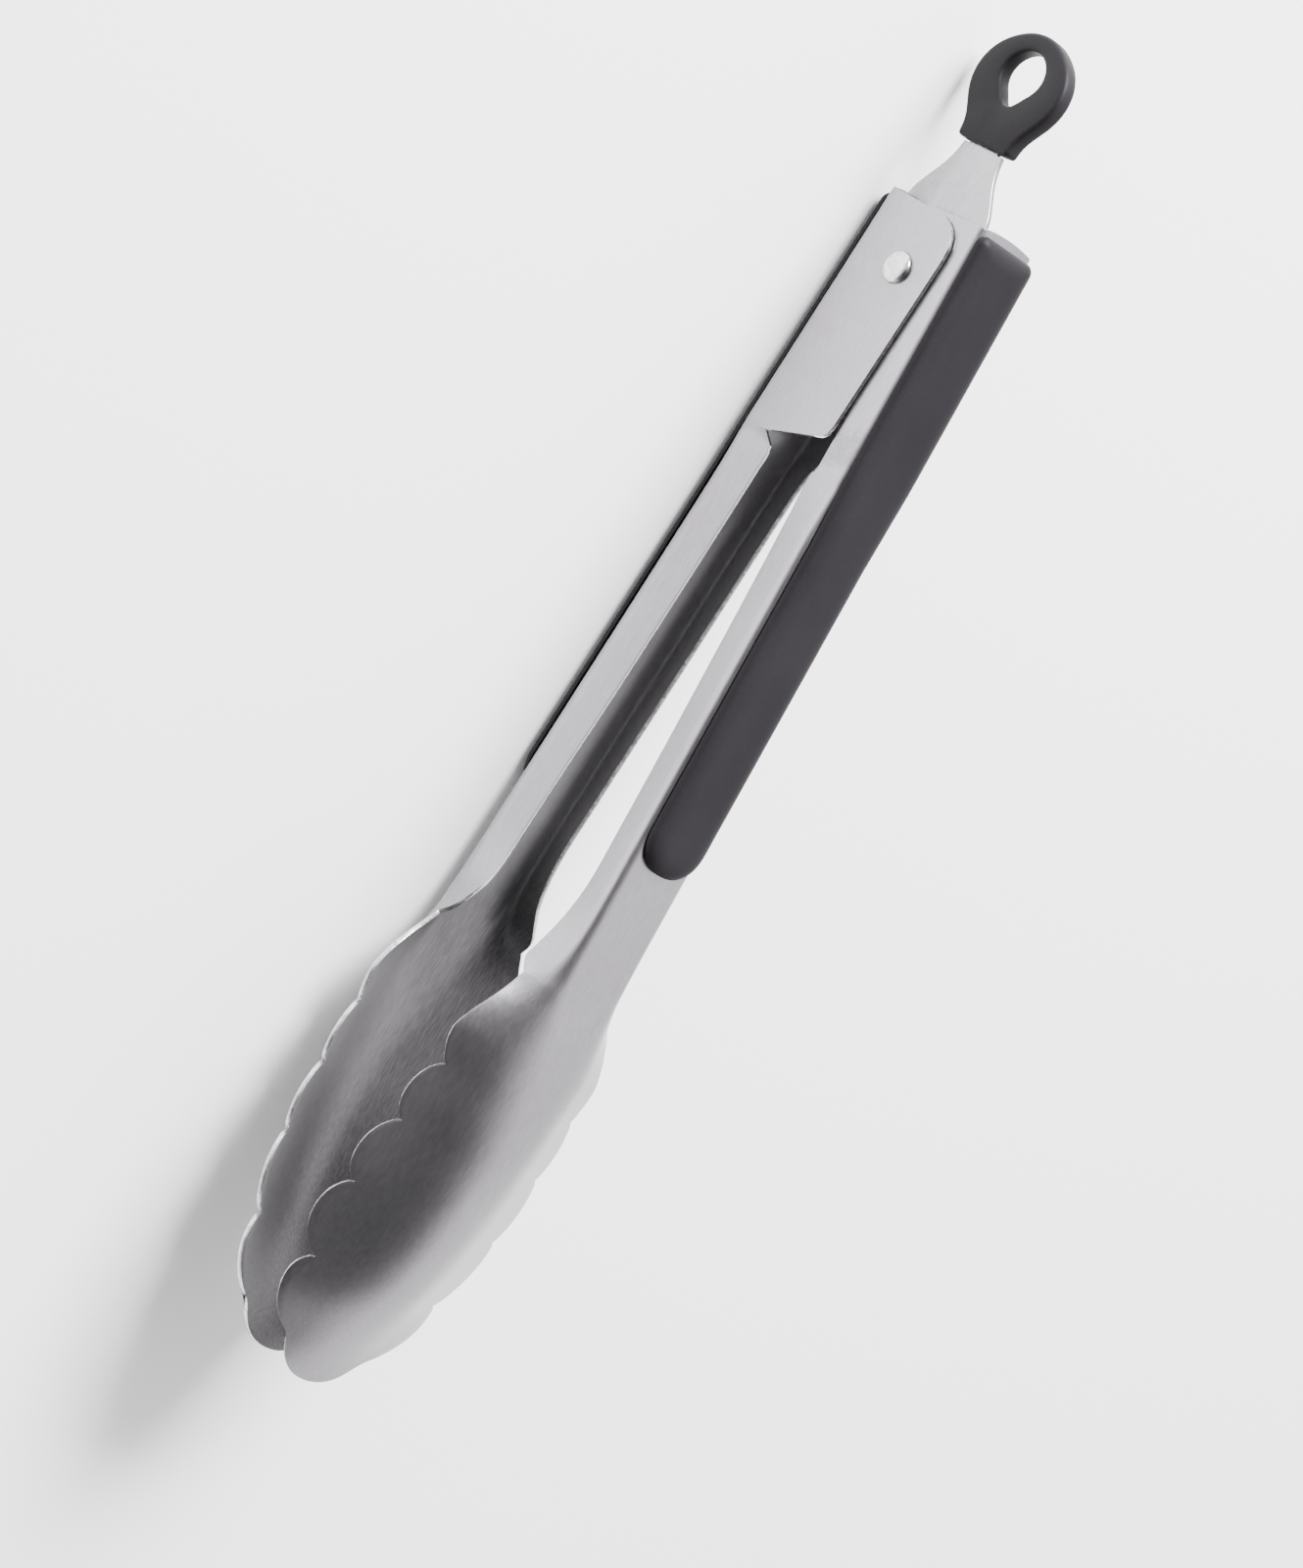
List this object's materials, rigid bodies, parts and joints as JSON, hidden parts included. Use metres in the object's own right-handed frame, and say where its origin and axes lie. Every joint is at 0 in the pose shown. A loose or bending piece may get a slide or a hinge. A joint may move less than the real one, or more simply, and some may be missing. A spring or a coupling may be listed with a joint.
{
  "type": "spring loaded kitchen tongs",
  "caption": "Spring loaded kitchen tongs: two stamped steel channel arms with scalloped spoon heads, black grip pads, a riveted hinge and a pull-out locking loop.",
  "frame": {"origin": "centre of the bounding box at its base, which is the flat land of the outer arm's grip pad", "axes": "+X along the tongs towards the scalloped heads, +Z from the outer arm to the inner arm, Y along the hinge pin with the rivet's domed head at -Y"},
  "size_m": [0.3148, 0.051, 0.0491],
  "materials": {
    "arm_steel": "satin brushed sheet",
    "inner_arm_steel": "satin brushed sheet",
    "outer_grip_rubber": "soft matte",
    "inner_grip_rubber": "soft matte",
    "tab_steel": "satin sheet",
    "loop_rubber": "soft matte",
    "rivet_steel": "polished",
    "sleeve_steel": "turned",
    "spring_steel": "drawn wire"
  },
  "bodies": {
    "outer_arm": {"outer_arm": "arm_steel", "outer_grip": "outer_grip_rubber", "pivot_rivet": "rivet_steel"},
    "inner_arm": {"inner_arm": "inner_arm_steel", "inner_grip": "inner_grip_rubber"},
    "sleeve": {"rivet_sleeve": "sleeve_steel", "torsion_spring": "spring_steel"},
    "lock": {"lock_tab": "tab_steel", "hang_loop": "loop_rubber"}
  },
  "joints": [
    {"name": "arm_hinge", "type": "hinge", "parent": "outer_arm", "child": "inner_arm", "pos_m": [-0.10123, 0, 0.0175], "axis": [0, -1, 0], "range_deg": [-2.4, 16], "deforming": ["torsion_spring"]},
    {"name": "sleeve_turn", "type": "hinge", "parent": "outer_arm", "child": "sleeve", "pos_m": [-0.10123, 0, 0.0175], "axis": [0, -1, 0], "range_deg": [-1.2, 8]},
    {"name": "lock_slide", "type": "slide", "parent": "sleeve", "child": "lock", "axis": [0.9991, 0, 0.0418], "range_m": [-0.0018, 0.0101]}
  ],
  "couplings": [
    {"joint": "sleeve_turn", "follows": "arm_hinge", "ratio": 0.5},
    {"joint": "lock_slide", "follows": "arm_hinge", "m_per_rad": 0.0358}
  ]
}
